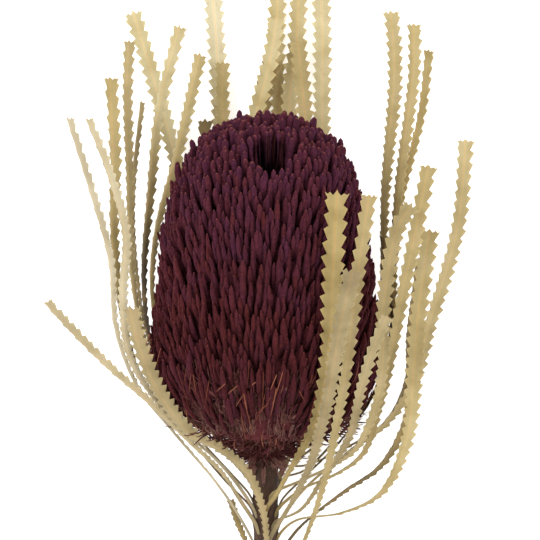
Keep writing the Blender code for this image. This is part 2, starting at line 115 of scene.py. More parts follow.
# Each leaf close to its route in the solids: root along the stem, root angle round it, widest half width, the
# blade's turn at root, middle and tip, its tones there from 0, dark brown, to 1, cream, partly its own colour
# and partly painted shade where it lies in shade, and its ash from 0, yellow, to 1, grey, the pitch of its
# teeth at the tip, how far it ends short of its route, and the route.
LEAVES = {
    "leaf_left_1": (-78, 150, 3.0, (62, 58, 60), (0.66, 0.78, 0.76, 0.75), 4.1, 4.6,
        [(-16, -56, 36), (-36, -32, 42), (-50, -14, 48), (-58, 8, 52), (-60, 34, 56), (-67, 60, 60),
         (-77, 92, 64)]),
    "leaf_left_2": (-66, 140, 3.0, (50, 10, 66), (0.76, 0.82, 0.78, 0.6), 3.6, 5.0,
        [(-16, -46, 38), (-29, -34, 47), (-42, -20, 53), (-52, -3, 59), (-55, 20, 62), (-54, 44, 64),
         (-60, 67, 66), (-70, 92, 68)]),
    "leaf_left_3": (-66, 168, 3.4, (78, 58, 22), (0.2, 0.3, 0.7, 0.05), 5.0, 4.6,
        [(-15, -52, 32), (-27, -38, 36), (-40, -24, 40), (-50, -8, 43), (-56, 14, 46), (-59, 44, 49),
         (-58.6, 74, 52), (-60.2, 108, 56)]),
    "leaf_left_4": (-62, 183, 2.6, (80, 42, 24), (0.44, 0.66, 0.72, 0.2), 4.2, 5.0,
        [(-14, -48, 29.5), (-25, -36, 31), (-38, -20, 33), (-47, 2, 36), (-52, 30, 39), (-53, 68, 43),
         (-53.6, 100, 46), (-52.6, 123, 48)]),
    "leaf_left_5": (-58, 197, 2.2, (80, 66, 66), (0.34, 0.4, 0.55, 0.3), 3.6, 4.0,
        [(-12, -45, 26), (-24, -33, 25), (-36, -17, 26), (-46, 4, 28), (-51, 34, 30), (-52, 60, 32),
         (-48, 99, 34)]),
    "leaf_left_6": (-54, 213, 3.2, (100, 52, 26), (0.05, 0.1, 0.84, 0.15), 4.7, 5.0,
        [(-17, -39, 20), (-28, -27, 17.5), (-39, -12, 18), (-46, 6, 20), (-48, 28, 22), (-45.4, 60, 25),
         (-41.8, 92, 28), (-32.6, 129, 32)]),
    "leaf_left_7": (-50, 230, 3.1, (110, 60, 22), (0.24, 0.44, 0.74, 0.1), 4.0, 4.6,
        [(-15, -38, 17), (-28, -22, 10), (-37, -7, 10), (-43, 8, 12), (-45, 26, 14), (-42.6, 48, 17),
         (-35, 75, 20), (-25, 118, 26)]),
    "leaf_left_8": (-59, 233, 3.9, (154, 176, 185), (0.6, 0.9, 0.88, 0.1), 4.2, 5.0,
        [(-16, -40, 14), (-26, -22, 7), (-29, 0, 3), (-31, 30, 3), (-33, 62, 6), (-39, 88, 9),
         (-53, 135, 14)]),
    "leaf_left_9": (-72, 128, 3.1, (38, 24, 46), (0.62, 0.72, 0.72, 0.45), 3.6, 3.4,
        [(-9, -60, 34.5), (-17, -48, 42), (-28, -37, 51), (-44, -21, 58), (-60, -7, 61), (-75, 8, 63),
         (-86, 20, 65)]),
    "leaf_left_10": (-92, 165, 1.9, (50, 36, 22), (0.4, 0.45, 0.5, 0.1), 2.6, 0.0,
        [(-8, -76, 24), (-11, -68, 25), (-14, -59, 27)]),
    "leaf_front_left": (-100, 95, 4.1, (5, 12, 24), (0.56, 0.62, 0.58, 0.3), 3.6, 1.0,
        [(0.2, -80, 33), (-1.2, -63, 39), (-7.2, -48, 46.5), (-16.8, -39, 53), (-28, -33, 58),
         (-40, -18, 64), (-48, 0, 68), (-52, 16, 71)]),
    "leaf_under_1": (-54, 250, 3.2, (162, 180, 180), (0.4, 0.42, 0.46, 0.2), 4.6, 3.6,
        [(-11, -37, 13), (-18, -18, 4), (-22, 4, 1.4), (-23, 40, 4), (-24, 92, 8)]),
    "leaf_under_2": (-60, 262, 4.3, (172, 180, 180), (0.7, 0.84, 0.96, 0.4), 4.3, 2.4,
        [(-8, -40, 10), (-14, -16, 1), (-16, 6, 0), (-17, 50, 0), (-18, 92, 1), (-20, 128, 3),
         (-22, 150, 4)]),
    "leaf_under_3": (-56, 268, 3.3, (178, 180, 180), (0.54, 0.68, 0.74, 0.05), 3.8, 4.0,
        [(-4, -36, 11), (-7.5, -14, 1), (-8.4, 8, 0), (-12, 50, 3), (-17, 92, 6), (-17, 115, 8)]),
    "leaf_under_4": (-68, 273, 4.3, (183, 180, 180), (0.4, 0.48, 0.5, 0.1), 5.4, 5.0,
        [(0, -44, 10), (0.3, -16, 0), (0.3, 8, 0), (0, 50, 0), (-2, 92, 3), (3, 116, 6)]),
    "leaf_under_5": (-58, 280, 4.0, (190, 180, 180), (0.6, 0.7, 0.82, 0.05), 4.3, 2.4,
        [(6, -38, 11), (8.3, -14, 1), (8.7, 8, 0), (8, 50, 0), (5, 92, 0), (4, 126, 0), (6, 154, 1)]),
    "leaf_under_6": (-49, 270, 3.8, (168, 180, 180), (0.4, 0.66, 0.84, 0.1), 4.3, 6.0,
        [(-4, -42, 19.5), (-9, -33, 12), (-17, -14, 5), (-20, 6, 3.6), (-15, 44, 7), (-6, 84, 11),
         (1, 110, 12), (5, 134, 13)]),
    "leaf_under_7": (-64, 290, 4.1, (200, 180, 180), (0.6, 0.7, 0.8, 0.1), 4.3, 2.4,
        [(9, -42, 10), (15, -16, 1), (17, 6, 0), (14, 50, 1), (9, 94, 3), (12, 122, 5), (13, 152, 6)]),
    "leaf_under_8": (-48, 296, 3.9, (206, 180, 180), (0.4, 0.56, 0.66, 0.1), 4.0, 5.0,
        [(11, -32, 12), (18, -14, 5), (21, 6, 3.8), (18, 50, 6), (15, 92, 8), (12, 124, 10)]),
    "leaf_under_9": (-54, 304, 4.3, (214, 180, 180), (0.62, 0.84, 0.9, 0.15), 4.2, 2.4,
        [(13, -38, 12), (22, -16, 3), (25, 6, 0.5), (23, 50, 1), (22, 92, 2), (22, 122, 3),
         (21, 152, 5)]),
    "leaf_right_1": (-46, 332, 3.6, (60, 50, 14), (0.5, 0.66, 0.74, 0.1), 3.9, 6.4,
        [(16, -38, 22), (28, -26, 20), (40, -10, 20), (44, 8, 22), (45, 34, 24), (45.6, 60, 27),
         (49.6, 108, 33), (47.7, 136, 36)]),
    "leaf_right_2": (-56, 345, 3.2, (80, 40, 14), (0.4, 0.62, 0.72, 0.1), 3.9, 5.4,
        [(15, -47, 26.5), (28, -34, 27), (42, -16, 28), (48, 4, 30), (49, 34, 33), (51, 62, 37),
         (56.7, 108, 43), (56.7, 130, 44)]),
    "leaf_right_3": (-50, 316, 2.5, (70, 66, 30), (0.3, 0.44, 0.76, 0.05), 4.2, 5.0,
        [(15, -41, 18), (28, -28, 14), (41, -10, 13), (47, 10, 14), (49.4, 36, 17), (52, 58, 20),
         (60, 92, 28), (63.2, 120, 32)]),
    "leaf_right_4": (-63, 13, 2.2, (100, 90, 60), (0.16, 0.22, 0.28, 0.2), 3.8, 2.0,
        [(14, -50, 34), (28, -36, 36), (41, -18, 38), (48, 2, 40), (47, 24, 44), (44, 45, 48)]),
    "leaf_right_5": (-71, 24, 3.6, (112, 150, 172), (0.6, 0.76, 0.76, 0.2), 4.4, 4.4,
        [(14, -55, 33), (31, -40, 38), (46, -28, 42), (56.5, -12, 46), (62, 8, 50), (68.8, 30, 54),
         (73.7, 50, 58), (76.6, 84, 62)]),
    "leaf_right_6": (-76, 36, 4.2, (124, 160, 180), (0.62, 0.76, 0.74, 0.1), 4.6, 1.0,
        [(12, -66, 35), (29, -63, 39), (44, -55, 44), (54, -34, 51), (56.5, -8, 56), (58.5, 16, 60),
         (62.6, 46, 64)]),
    "leaf_right_7": (-66, 43, 3.6, (136, 160, 175), (0.62, 0.74, 0.72, 0.1), 4.7, 3.6,
        [(14, -54, 37), (25, -49, 41), (37, -40, 47), (43, -22, 55), (47.6, -2, 61), (52, 22, 67),
         (56.6, 44, 71), (62.3, 73, 74)]),
    "leaf_right_8": (-51, 0, 2.4, (88, 130, 150), (0.36, 0.42, 0.46, 0.2), 3.4, 2.0,
        [(15, -45, 30), (31, -38, 32), (46, -28, 34), (54, -12, 37), (55, 6, 41), (59, 35, 46)]),
    "leaf_right_9": (-60, 70, 3.7, (150, 165, 175), (0.66, 0.76, 0.68, 0.2), 4.3, 3.8,
        [(15, -50, 42), (26, -44, 49), (34, -38, 55), (39, -29, 61), (43, -16, 67), (44.6, 0, 72),
         (44.4, 12, 74), (46, 27, 75), (49.8, 46, 76), (56.8, 58, 77)]),
    "leaf_front_1": (-66, 91, 4.9, (174, 178, 178), (0.6, 0.62, 0.62, 0.0), 5.4, 3.4,
        [(4, -56, 44), (9, -46, 56), (14, -37, 67), (19, -26, 77), (22, -13, 86), (24, 2, 90),
         (25, 24, 92), (26, 44, 93), (27, 62, 91)]),
    "leaf_front_2": (-98, 58, 3.4, (150, 165, 178), (0.62, 0.7, 0.68, 0.15), 4.8, 2.8,
        [(12, -80, 35), (16, -70, 43), (20, -58, 52), (24, -42, 63), (27, -26, 74), (29.5, -12, 82),
         (32, 6, 85), (34.3, 26, 87), (39.4, 61, 86)]),
    "leaf_front_3": (-78, 80, 4.5, (162, 172, 178), (0.5, 0.54, 0.5, 0.38), 3.8, 0.6,
        [(8, -62, 44), (14, -50, 57), (18, -40, 69), (20.5, -30, 80), (23.5, -17, 89), (26, -2, 94),
         (28.5, 12, 96), (32.5, 30, 96)]),
    "leaf_front_4": (-71, 58, 2.8, (140, 165, 175), (0.56, 0.62, 0.66, 0.35), 3.8, 0.5,
        [(13, -62, 42), (22, -49, 51), (32, -32, 64), (36, -14, 76), (41, 2, 81), (46, 13, 83)]),
    "leaf_right_10": (-84, 36, 2.8, (124, 140, 150), (0.22, 0.32, 0.5, 0.1), 4.0, 1.0,
        [(14, -68, 29), (30, -55, 31), (44, -45, 33), (53, -30, 35), (57, -12, 37), (60, 3, 38)]),
}


def unit(v):
    """Vectors divided by their own length."""
    return v / np.maximum(np.linalg.norm(v, axis=-1, keepdims=True), 1e-9)


def outline_radius(along):
    """The head's radius, by straight lines between the outline's points, rounded by averaging over 6 mm."""
    reach = np.linspace(-3.0, 3.0, 7)
    along = np.asarray(along, float)[..., None] + reach
    return np.interp(along, OUTLINE_ALONG, OUTLINE_RADIUS).mean(-1)


def skirt_radius(along):
    """The outline's radius, drawn in near the stem to give the skirt a flat underside and a short neck."""
    return outline_radius(along) * np.interp(along, [0, 5, 8, 11, 14], [0.62, 0.48, 0.52, 0.74, 0.98])


def radial(angle):
    """Unit vectors square to the head's axis: side times the cosine plus front times the sine."""
    angle = np.asarray(angle, float)[..., None]
    return np.cos(angle) * SIDE + np.sin(angle) * FRONT


def about_axis(along, radius, angle):
    """Points at base + along * axis + radius * radial(angle)."""
    along = np.asarray(along, float)[..., None]
    return HEAD_BASE + along * AXIS + np.asarray(radius, float)[..., None] * radial(angle)


def leaning(lean, angle):
    """Directions at an angle from the axis: axis times the cosine of the lean plus radial times its sine."""
    lean = np.asarray(lean, float)[..., None]
    return np.cos(lean) * AXIS + np.sin(lean) * radial(angle)


def bend(start, middle, end, t):
    """Quadratic curves, one for each row of points: (1-t)^2 start + 2t(1-t) middle + t^2 end."""
    t = np.asarray(t, float)[None, :, None]
    return (1 - t) ** 2 * start[:, None] + 2 * t * (1 - t) * middle[:, None] + t * t * end[:, None]


def ring_faces(count, rings, sides, closed=True):
    """Faces of `count` tubes of rings by sides points: quads along each, and on closed ones a many-sided cap
    at both ends."""
    start = (np.arange(count) * rings * sides)[:, None, None]
    low = start + (np.arange(rings - 1) * sides)[:, None]
    high = low + sides
    k = np.arange(sides)
    j = (k + 1) % sides
    faces = [np.stack([low + k, high + k, high + j, low + j], axis=-1).reshape(-1, 4)]
    if closed:
        faces += [start[:, 0] + k, start[:, 0] + (rings - 1) * sides + k[::-1]]
    return faces


def tubes(centre, radius, sides, hint):
    """Rings round curves: centre + radius * (cosine * across + sine * up), with across square to the curve's
    tangent and the hint, and up square to both. centre is curves by rings by 3, radius curves by rings, or
    curves by rings by sides, and hint one direction, or one for each curve."""
    tangent = unit(np.gradient(centre, axis=1))
    across = unit(np.cross(tangent, hint[..., None, :]))
    up = np.cross(across, tangent)
    turn = (2 * math.pi * np.arange(sides) / sides)[:, None]
    ring = np.cos(turn) * across[:, :, None] + np.sin(turn) * up[:, :, None]
    radius = radius[..., None] if radius.ndim == 2 else radius
    return centre[:, :, None] + radius[..., None] * ring


def soft_noise(rng, waves, longest):
    """A smooth random curve: a sum of sines of random phase, each shorter and lower than the last."""
    phases = rng.uniform(0, 2 * math.pi, waves)

    def value(x):
        """The curve's height at x."""
        total = 0.0
        for k in range(waves):
            total = total + np.sin(2 * math.pi * x * (k + 1) / longest + phases[k]) / (k + 1)
        return total / 1.5

    return value


def make_piece(name, points, faces, finish, nodes, slot, sharp=None, **attributes):
    """One mesh from points in millimetres and arrays of faces, each array with its own number of corners.
    Each attribute is a number or an array that spreads over the points."""
    mesh = bpy.data.meshes.new(name)
    mesh.vertices.add(points.size // 3)
    mesh.vertices.foreach_set("co", (points * MM).ravel())
    corners = np.concatenate([f.ravel() for f in faces]).astype(np.int32)
    sizes = np.concatenate([np.full(len(f), f.shape[1]) for f in faces])
    starts = np.concatenate([[0], np.cumsum(sizes)[:-1]]).astype(np.int32)
    mesh.loops.add(len(corners))
    mesh.loops.foreach_set("vertex_index", corners)
    mesh.polygons.add(len(sizes))
    mesh.polygons.foreach_set("loop_start", starts)
    mesh.polygons.foreach_set("use_smooth", np.ones(len(sizes), bool))
    mesh.update(calc_edges=True)
    mesh.validate()
    for key, values in attributes.items():
        made = mesh.attributes.new(key, "FLOAT", "POINT")
        spread = np.broadcast_to(values, points.shape[:-1])
        made.data.foreach_set("value", spread.astype(np.float32).ravel())
    if sharp is not None:
        mesh.set_sharp_from_angle(angle=math.radians(sharp))
    mesh.materials.append(finish)
    piece = bpy.data.objects.new(name, mesh)
    bpy.context.scene.collection.objects.link(piece)
    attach(piece, "root")
    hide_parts(*nodes)


def make_strands(name, curve, radius, sides, hint, finish, gap=FLOOR_GAP, **attributes):
    """Many buds, stalks or hairs of the head as one piece: tubes round curves, kept a gap above the floor.
    Each attribute is an array that spreads over curves by rings."""
    points = tubes(curve, radius, sides, hint)
    points[..., 2] = np.maximum(points[..., 2], gap)
    attributes = {key: value[..., None] for key, value in attributes.items()}
    faces = ring_faces(*curve.shape[:2], sides)
    make_piece(name, points, faces, finish, ["flower_head"], "florets", **attributes)


# Materials


def new_material(name):
    """A new material, its node tree and its Principled shader."""
    made = bpy.data.materials.new(name)
    made.use_nodes = True
    return made, made.node_tree, made.node_tree.nodes["Principled BSDF"]


def node(tree, kind, inputs=(), **settings):
    """One shader node with its settings, values and links."""
    made = tree.nodes.new(kind)
    for key, value in settings.items():
        setattr(made, key, value)
    for key, value in dict(inputs).items():
        if isinstance(value, bpy.types.NodeSocket):
            tree.links.new(value, made.inputs[key])
        else:
            made.inputs[key].default_value = value
    return made


def ramp(tree, fac, stops):
    """A colour ramp through the given places and colours."""
    made = node(tree, "ShaderNodeValToRGB", {"Fac": fac})
    ends = made.color_ramp.elements
    while len(ends) < len(stops):
        ends.new(0.5)
    for element, (place, colour) in zip(ends, stops):
        element.position = place
        element.color = (*colour, 1.0)
    return made.outputs["Color"]


def grey_ramp(tree, fac, stops):
    """A ramp through the given places and greys."""
    return ramp(tree, fac, [(place, (grey, grey, grey)) for place, grey in stops])


def grade(tree, value, start, end, low=0.0, high=1.0):
    """A number that goes from low to high as a value goes from start to end, and stays level beyond."""
    inputs = {"Value": value, "From Min": start, "From Max": end, "To Min": low, "To Max": high}
    return node(tree, "ShaderNodeMapRange", inputs).outputs["Result"]


def attribute(tree, name):
    """A number kept on the mesh's points."""
    return node(tree, "ShaderNodeAttribute", attribute_name=name).outputs["Fac"]


def mix(tree, fac, a, b, blend="MIX"):
    """Two colours mixed."""
    made = node(tree, "ShaderNodeMix", data_type="RGBA", blend_type=blend)
    for socket, value in ((made.inputs[0], fac), (made.inputs[6], a), (made.inputs[7], b)):
        if isinstance(value, bpy.types.NodeSocket):
            tree.links.new(value, socket)
        else:
            socket.default_value = value if isinstance(value, float) else (*value, 1.0)
    return made.outputs[2]


def maths(tree, operation, a, b=0.0, c=0.0):
    """One arithmetic node."""
    return node(tree, "ShaderNodeMath", {0: a, 1: b, 2: c}, operation=operation).outputs[0]


def scaled(tree, a, b, c):
    """a * b + c."""
    return maths(tree, "MULTIPLY_ADD", a, b, c)


def noise(tree, vector, scale, detail, roughness):
    """Noise of one number, 0 to 1, with its scale in lumps per metre."""
    inputs = {"Vector": vector, "Scale": scale, "Detail": detail, "Roughness": roughness}
    return node(tree, "ShaderNodeTexNoise", inputs).outputs["Fac"]


def mottle_group():
    """A node group of soft mottling: patches, which are the middle of a wide noise stretched to a full mask,
    and grain, which is a fine noise."""
    group = bpy.data.node_groups.new("mottle", "ShaderNodeTree")
    for name, kind, way in (
        ("Vector", "NodeSocketVector", "INPUT"),
        ("Patch Scale", "NodeSocketFloat", "INPUT"),
        ("Grain Scale", "NodeSocketFloat", "INPUT"),
        ("Patches", "NodeSocketFloat", "OUTPUT"),
        ("Grain", "NodeSocketFloat", "OUTPUT"),
    ):
        group.interface.new_socket(name=name, in_out=way, socket_type=kind)
    start = group.nodes.new("NodeGroupInput")
    end = group.nodes.new("NodeGroupOutput")
    place = start.outputs["Vector"]
    patches = noise(group, place, start.outputs["Patch Scale"], 4.0, 0.6)
    grain = noise(group, place, start.outputs["Grain Scale"], 2.0, 0.5)
    group.links.new(grade(group, patches, 0.35, 0.65), end.inputs["Patches"])
    group.links.new(grain, end.inputs["Grain"])
    return group


MOTTLE = mottle_group()


def mottle(tree, patch_scale, grain_scale):
    """The mottling group in a material: its patches and its grain."""
    place = node(tree, "ShaderNodeTexCoord").outputs["Object"]
    inputs = {"Vector": place, "Patch Scale": patch_scale, "Grain Scale": grain_scale}
    made = node(tree, "ShaderNodeGroup", inputs, node_tree=MOTTLE)
    return made.outputs["Patches"], made.outputs["Grain"]


def paint(tree, shader, colour, rough, low, high, gloss=0.5):
    """Sets a shader's colour, its roughness from low to high by a mask, and its gloss."""
    shader.inputs["Specular IOR Level"].default_value = gloss
    tree.links.new(colour, shader.inputs["Base Color"])
    tree.links.new(grade(tree, rough, 0.0, 1.0, low, high), shader.inputs["Roughness"])


def bump(tree, shader, height, distance, strength):
    """Raises the surface by a height, at most the given distance in metres."""
    made = node(tree, "ShaderNodeBump", {"Height": height, "Distance": distance, "Strength": strength})
    tree.links.new(made.outputs["Normal"], shader.inputs["Normal"])


def velvet_material(name, low, high, warm):
    """Dyed velvety florets: blotched, their colour running from low on the head to high, the brighter ones
    warmer, with painted shade towards each root where the gaps between florets and the parting lie in shade,
    and with a warm point at each tip."""
    made, tree, shader = new_material(name)
    height = attribute(tree, "height")
    reach = attribute(tree, "reach")
    shade = attribute(tree, "shade")
    patches, grain = mottle(tree, 620.0, 2600.0)
    wide, _ = mottle(tree, 90.0, 600.0)
    dyed = mix(tree, scaled(tree, wide, 0.5, maths(tree, "ADD", height, -0.25)), low, high)
    warmed = mix(tree, maths(tree, "MULTIPLY", maths(tree, "POWER", shade, 3.0), 0.45), dyed, warm)
    light = scaled(tree, shade, 0.14, scaled(tree, patches, 0.40, 0.71))
    lit = node(tree, "ShaderNodeHueSaturation", {"Color": warmed, "Value": light}).outputs["Color"]
    # Painted shade: darker towards the root, for the shade in the gaps between the florets and in the
    # parting.
    painted_root_shade = grey_ramp(tree, reach, [(0.0, 0.11), (0.15, 0.95), (0.60, 1.0), (0.85, 0.97)])
    toned = mix(tree, 1.0, lit, painted_root_shade, "MULTIPLY")
    point = grey_ramp(tree, reach, [(0.0, 0.0), (0.974, 0.0), (1.0, 0.85)])
    paint(tree, shader, mix(tree, point, toned, (0.26, 0.075, 0.045)), grain, 0.75, 0.95, gloss=0.05)
    shader.inputs["Sheen Weight"].default_value = 0.05
    shader.inputs["Sheen Roughness"].default_value = 0.5
    shader.inputs["Sheen Tint"].default_value = (0.80, 0.35, 0.50, 1.0)
    bump(tree, shader, scaled(tree, patches, 0.8, grain), 0.0006, 1.0)
    return made


def strand_material(name, dark, light):
    """Fine dry strands: dark to light from one strand to the next, nearly matt."""
    made, tree, shader = new_material(name)
    patches, grain = mottle(tree, 120.0, 1500.0)
    colour = mix(tree, attribute(tree, "shade"), dark, light)
    speckled = mix(tree, maths(tree, "MULTIPLY", patches, 0.4), colour, dark)
    paint(tree, shader, speckled, grain, 0.55, 0.85, gloss=0.12)
    bump(tree, shader, grain, 0.0001, 0.5)
    return made


# Leaf colours by tone: the darker ones are partly the leaves' own colour and partly painted shade on leaves
# that lie in shade.
LEAF_TONES = [
    (0.0, (0.040, 0.024, 0.014)),
    (0.25, (0.128, 0.091, 0.034)),
    (0.5, (0.270, 0.201, 0.080)),
    (0.75, (0.440, 0.347, 0.160)),
    (1.0, (0.65, 0.57, 0.34)),
]


def leaf_material():
    """A bleached leaf: dark brown, khaki, straw and cream by its tone, the darker tones partly its own colour
    and partly painted shade, and greyer by its ash, with a pinkish midrib on a paler band, faint slanting
    side veins, paler edges and stains."""
    made, tree, shader = new_material("bleached leaf")
    across = maths(tree, "ABSOLUTE", attribute(tree, "across"))
    along = attribute(tree, "along")
    tone = attribute(tree, "tone")
    ash = attribute(tree, "ash")
    patches, grain = mottle(tree, 110.0, 1800.0)
    wide, _ = mottle(tree, 28.0, 600.0)
    drift = scaled(tree, patches, 0.12, scaled(tree, wide, 0.15, -0.13))
    blade = ramp(tree, maths(tree, "ADD", tone, drift), LEAF_TONES)
    veins = maths(tree, "SINE", scaled(tree, along, 7.0, maths(tree, "MULTIPLY", across, -5.0)))
    edge = grade(tree, across, 0.80, 1.0, 0.0, 0.20)
    band = grade(tree, across, 0.24, 0.05, 0.0, 0.13)
    light = scaled(tree, veins, 0.012, maths(tree, "ADD", edge, band))
    value = maths(tree, "ADD", light, 0.97)
    saturation = scaled(tree, ash, -0.48, 1.05)
    inputs = {"Color": blade, "Value": value, "Saturation": saturation}
    veined = node(tree, "ShaderNodeHueSaturation", inputs).outputs["Color"]
    stain = maths(tree, "MULTIPLY", maths(tree, "POWER", patches, 5.0), 0.22)
    stained = mix(tree, stain, veined, (0.30, 0.15, 0.07))
    pink = mix(tree, 1.0, stained, (1.03, 0.82, 0.69), "MULTIPLY")
    ribbed = mix(tree, grade(tree, across, 0.10, 0.03, 0.0, 0.75), stained, pink)
    paint(tree, shader, ribbed, grain, 0.5, 0.8, gloss=0.25)
    bump(tree, shader, scaled(tree, veins, 0.12, grain), 0.00015, 0.8)
    return made


BARK_TONES = [
    (0.30, (0.022, 0.010, 0.006)),
    (0.55, (0.060, 0.030, 0.016)),
    (0.75, (0.125, 0.068, 0.034)),
]


def bark_material():
    """Rough dark bark with lengthwise fibres and paler rubbed spots."""
    made, tree, shader = new_material("stem bark")
    patches, grain = mottle(tree, 160.0, 2200.0)
    place = node(tree, "ShaderNodeTexCoord").outputs["Object"]
    drawn_out = node(tree, "ShaderNodeMapping", {"Vector": place, "Scale": (1.0, 0.12, 1.0)})
    fibres = noise(tree, drawn_out.outputs["Vector"], 900.0, 4.0, 0.6)
    colour = ramp(tree, fibres, BARK_TONES)
    spotted = mix(tree, maths(tree, "MULTIPLY", patches, 0.35), colour, (0.13, 0.058, 0.036))
    paint(tree, shader, spotted, fibres, 0.65, 0.95)
    bump(tree, shader, scaled(tree, grain, 0.4, fibres), 0.0007, 0.8)
    return made


def cut_wood_material():
    """The stem's sawn end: pale wood with rings round a darker pith."""
    made, tree, shader = new_material("cut wood")
    patches, grain = mottle(tree, 300.0, 4000.0)
    across = attribute(tree, "across")
    ring = maths(tree, "SINE", maths(tree, "MULTIPLY", across, 34.0))
    wood = mix(tree, scaled(tree, ring, 0.25, 0.4), (0.46, 0.31, 0.17), (0.62, 0.47, 0.29))
    pith = grade(tree, across, 0.25, 0.1, 0.0, 0.8)
    paint(tree, shader, mix(tree, pith, wood, (0.20, 0.11, 0.06)), patches, 0.7, 0.9)
    bump(tree, shader, grain, 0.0002, 0.6)
    return made


def floor_material():
    """White paper that glows a little, with patches a touch darker."""
    made, tree, shader = new_material("white paper")
    patches, _ = mottle(tree, 3.0, 400.0)
    colour = mix(tree, maths(tree, "MULTIPLY", patches, 0.3), (0.92, 0.92, 0.915), (0.90, 0.90, 0.895))
    tree.links.new(colour, shader.inputs["Base Color"])
    shader.inputs["Roughness"].default_value = 0.9
    shader.inputs["Emission Color"].default_value = (1.0, 1.0, 1.0, 1.0)
    shader.inputs["Emission Strength"].default_value = 0.46
    return made


FLORET_FINISH = velvet_material(
    "dyed floret", low=(0.079, 0.0145, 0.0165), high=(0.082, 0.019, 0.041), warm=(0.110, 0.020, 0.018)
)
# The bed's colours, paler than the florets': partly the bed's own colour and partly painted light that lifts
# the shade in the gaps between the florets.
BED_FINISH = velvet_material(
    "floret bed", low=(0.150, 0.034, 0.036), high=(0.130, 0.028, 0.048), warm=(0.14, 0.030, 0.034)
)
FELT_FINISH = velvet_material(
    "brown felt", low=(0.168, 0.052, 0.049), high=(0.440, 0.230, 0.185), warm=(0.26, 0.11, 0.08)
)
STYLE_FINISH = strand_material("dry styles", dark=(0.12, 0.028, 0.016), light=(0.36, 0.13, 0.068))
STALK_FINISH = strand_material("parting stalks", dark=(0.030, 0.007, 0.010), light=(0.105, 0.026, 0.024))
FRINGE_FINISH = strand_material("dark fringe", dark=(0.050, 0.012, 0.014), light=(0.17, 0.055, 0.045))
LEAF_FINISH = leaf_material()
BARK_FINISH = bark_material()
CUT_FINISH = cut_wood_material()
FLOOR_FINISH = floor_material()


# The head


def parting_share(points):
    """How far inside the parting points lie seen from above: 1 at its middle, 0 at its rim and beyond."""
    reach = (points[..., :2] - PARTING_MIDDLE) / PARTING_HALF
    inside = 1.0 - (reach**2).sum(-1)
    return np.clip(inside, 0.0, 1.0) * (points[..., 2] > PARTING_LOWEST)


def floret_places(rng):
    """Places along and round the head: even over its skin but a little closer towards the tip, each turned
    by the golden angle from the one before."""
    along = np.linspace(5.0, HEAD_LENGTH, 800)
    radius = outline_radius(along)
    size = np.interp(along, [0, 45, 100, 137], [1.06, 1.06, 0.96, 0.92])
    ring = (radius[1:] + radius[:-1]) / 2 * np.hypot(np.diff(along), np.diff(radius)) / size[1:] ** 2
    total = np.concatenate([[0.0], np.cumsum(ring)])
    places = np.interp((np.arange(FLORETS) + 0.5) / FLORETS * total[-1], total, along)
    turns = np.arange(FLORETS) * GOLDEN_ANGLE
    return places + rng.normal(0, 0.55, FLORETS), turns + rng.normal(0, 0.018, FLORETS)


def floret_tips(rng):
    """The florets' places and tips, which lie a little above or below the outline. Those that would reach
    into the parting from its near side are moved back to its rim, the rest of those in it are left out, and
    fewer and fewer grow towards the base."""
    along, angle = floret_places(rng)
    rough = np.interp(along, [0, 40, 100, 137], [1.0, 0.75, 0.8, 1.1])
    uneven = rng.normal(0, 0.9, FLORETS) * np.interp(along, [100, 130], [0, 1])
    sunk = np.interp(along, [100, 137], [0.0, 2.2]) - uneven
    proud = -0.7 + rng.normal(0, 1, FLORETS) * rough
    tip = about_axis(along - sunk, outline_radius(along) + proud, angle)
    wide = np.clip((tip[:, 0] - PARTING_MIDDLE[0]) / PARTING_HALF[0], -1, 1)
    rim = PARTING_MIDDLE[1] - PARTING_HALF[1] * np.sqrt(1 - wide**2) - rng.uniform(0.2, 2.8, FLORETS)
    near = (parting_share(tip) > 0) & (tip[:, 1] < PARTING_MIDDLE[1] + 1.0)
    along = along - np.where(near, (tip[:, 1] - rim) / AXIS[1], 0.0)
    tip = about_axis(along - sunk, outline_radius(along) + proud, angle)
    facing = np.clip(np.sin(angle), 0, 1)
    share = np.interp(along + 5 * (1 - facing), [23, 31, 37, 45], [0.02, 0.28, 0.75, 1.0])
    share = np.where(near, 0.8, share)
    keep = (parting_share(tip) <= 0) & (rng.uniform(0, 1, FLORETS) < share)
    return along[keep], angle[keep], tip[keep]


